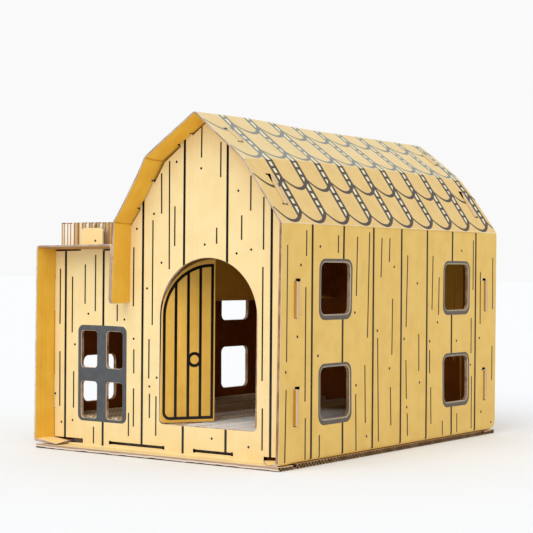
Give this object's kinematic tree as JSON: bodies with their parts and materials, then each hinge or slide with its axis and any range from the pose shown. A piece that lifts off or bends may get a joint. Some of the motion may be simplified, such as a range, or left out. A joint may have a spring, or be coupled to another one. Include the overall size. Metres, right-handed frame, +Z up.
{
  "type": "cat house",
  "caption": "Folded corrugated cardboard cat house: barn-roofed room with arched doorway, flat-roofed wing, wall windows and scratch pads.",
  "frame": {"origin": "on the ground, under the middle of the house's box", "axes": "+Z up, -Y towards the doorway, +X towards the main room's long wall, away from the wing"},
  "size_m": [0.436, 0.606, 0.47],
  "materials": {
    "wall_board": "matte print",
    "panel_board": "matte print",
    "door_board": "matte print",
    "base_board": "plain kraft",
    "pad_strips": "corrugated edge"
  },
  "bodies": {
    "house": {"main_shell": "wall_board", "wing_shell": "wall_board", "front_panel": "panel_board", "back_panel": "panel_board", "base_board": "base_board", "floor_pad_right": "pad_strips", "floor_pad_middle": "pad_strips", "floor_pad_wing": "pad_strips"},
    "left_door": {"door_leaf_left": "door_board"},
    "right_door": {"door_leaf_right": "door_board"},
    "top_pad": {"roof_pad": "pad_strips"}
  },
  "joints": [
    {"name": "left_door_crease", "type": "hinge", "parent": "house", "child": "left_door", "pos_m": [-0.0105, -0.269, 0.12], "axis": [0, 0, 1], "range_deg": [-60, 30]},
    {"name": "right_door_crease", "type": "hinge", "parent": "house", "child": "right_door", "pos_m": [0.1525, -0.269, 0.12], "axis": [0, 0, -1], "range_deg": [-80, 10]},
    {"name": "roof_pad_lift", "type": "slide", "parent": "house", "child": "top_pad", "axis": [0, 0, 1], "range_m": [0, 0.185]}
  ]
}
